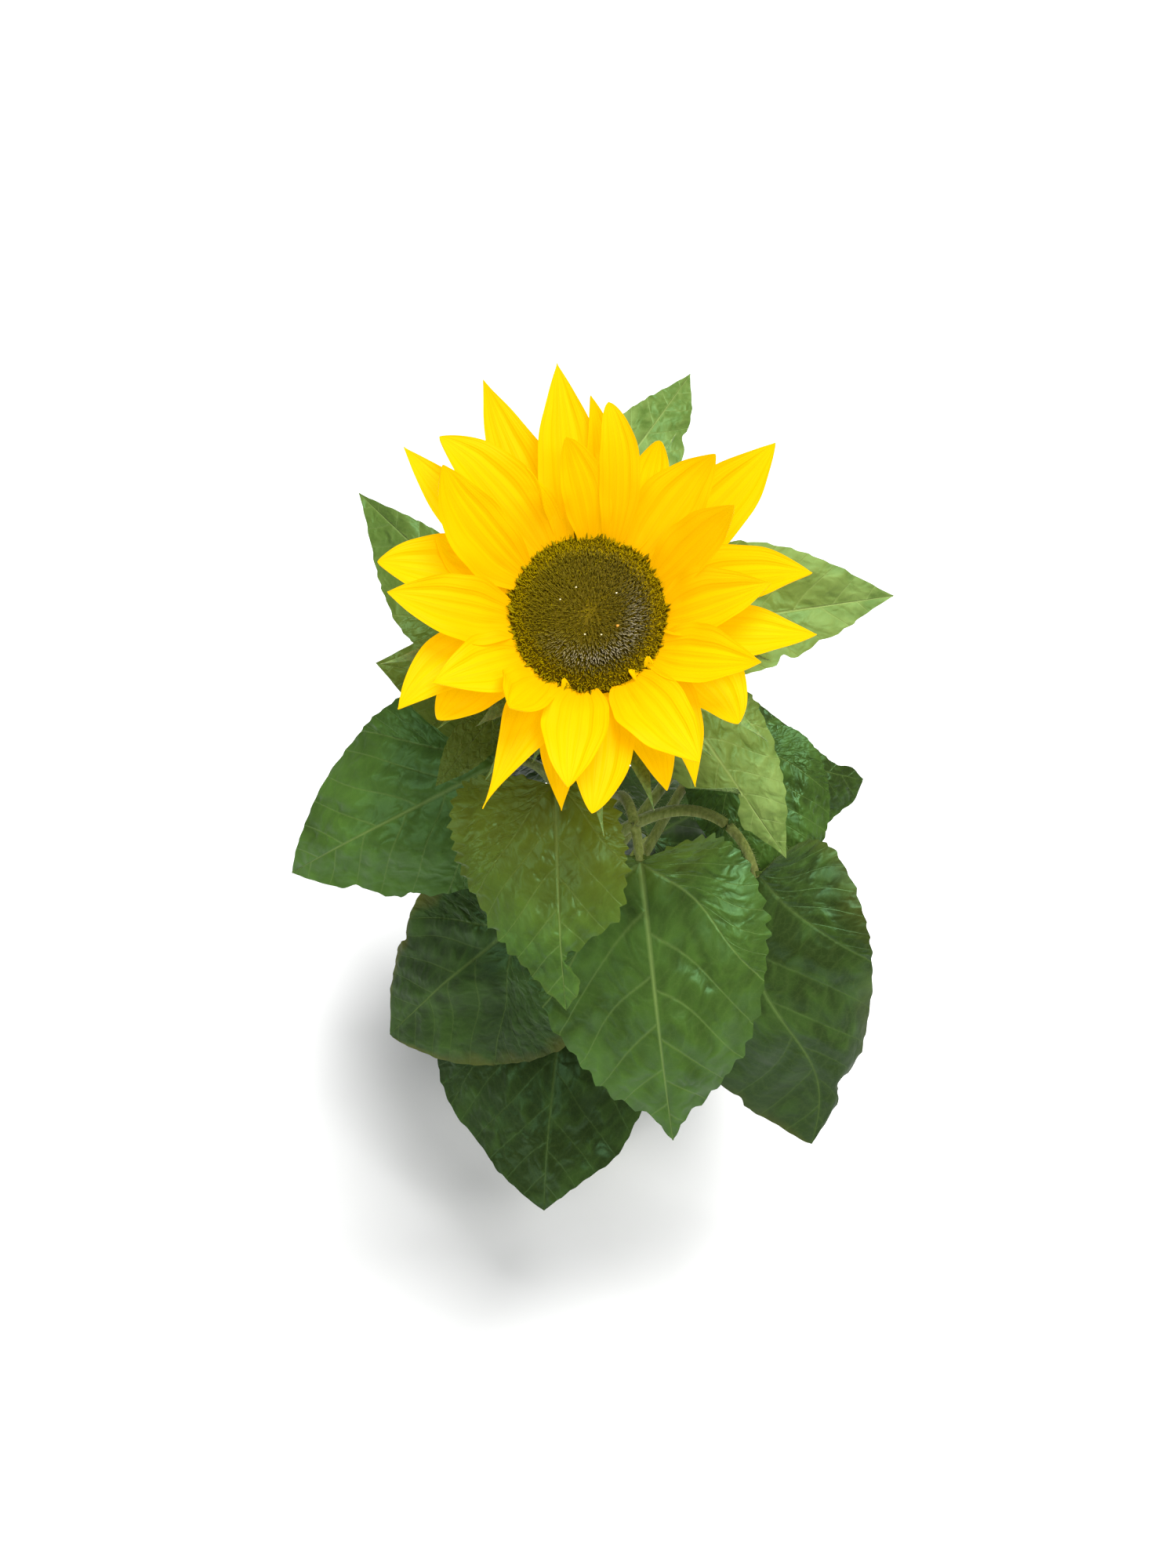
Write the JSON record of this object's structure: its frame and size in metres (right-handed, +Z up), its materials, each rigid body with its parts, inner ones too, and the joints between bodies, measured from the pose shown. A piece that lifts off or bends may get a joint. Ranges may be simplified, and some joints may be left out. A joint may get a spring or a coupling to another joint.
{
  "type": "sunflower plant",
  "caption": "Compact sunflower plant on one upright stem, with a nodding yellow flower head over heart-shaped green leaves.",
  "frame": {"origin": "middle of the flat cut at the foot of the stem, at ground level", "axes": "+Z up along the stem, -Y the way the flower faces, +X to the right seen from the front"},
  "size_m": [0.2237, 0.2534, 0.4418],
  "materials": {
    "stem": "hairy green stem, fine lengthwise ribs",
    "leaf": "quilted leaf, satin with pale veins",
    "young_leaf": "soft matte young leaf",
    "calyx": "hairy green bracts",
    "petal": "satin pleated petal, golden at the base",
    "disc": "matte bristly florets"
  },
  "bodies": {
    "root": {"stem": "stem", "neck": "stem", "calyx": "calyx", "seed_disc": "disc", "petal_inner_1": "petal", "petal_inner_2": "petal", "petal_inner_3": "petal", "petal_inner_4": "petal", "petal_inner_5": "petal", "petal_inner_6": "petal", "petal_inner_7": "petal", "petal_inner_8": "petal", "petal_inner_9": "petal", "petal_inner_10": "petal", "petal_inner_11": "petal", "petal_middle_1": "petal", "petal_middle_2": "petal", "petal_middle_3": "petal", "petal_middle_4": "petal", "petal_middle_5": "petal", "petal_middle_6": "petal", "petal_middle_7": "petal", "petal_middle_8": "petal", "petal_middle_9": "petal", "petal_outer_1": "petal", "petal_outer_2": "petal", "petal_outer_3": "petal", "petal_outer_4": "petal", "petal_outer_5": "petal", "petal_outer_6": "petal", "stalk_front_low": "stem", "blade_front_low": "leaf", "stalk_back_low": "stem", "blade_back_low": "leaf", "stalk_back_right_low": "stem", "blade_back_right_low": "leaf", "stalk_left_low": "stem", "blade_left_low": "leaf", "stalk_back_left_low": "stem", "blade_back_left_low": "leaf", "stalk_right_mid": "stem", "blade_right_mid": "leaf", "stalk_back_mid": "stem", "blade_back_mid": "leaf", "stalk_right_inner": "stem", "blade_right_inner": "leaf", "stalk_right_low": "stem", "blade_right_low": "leaf", "stalk_left_mid": "stem", "blade_left_mid": "leaf", "stalk_front_mid": "stem", "blade_front_mid": "leaf", "stalk_front_high": "stem", "blade_front_high": "leaf", "leaf_left_bud": "young_leaf", "leaf_right_high": "young_leaf", "leaf_left_high": "young_leaf", "leaf_crown_right": "young_leaf", "leaf_crown_back": "young_leaf", "leaf_crown_left": "young_leaf"}
  },
  "joints": []
}
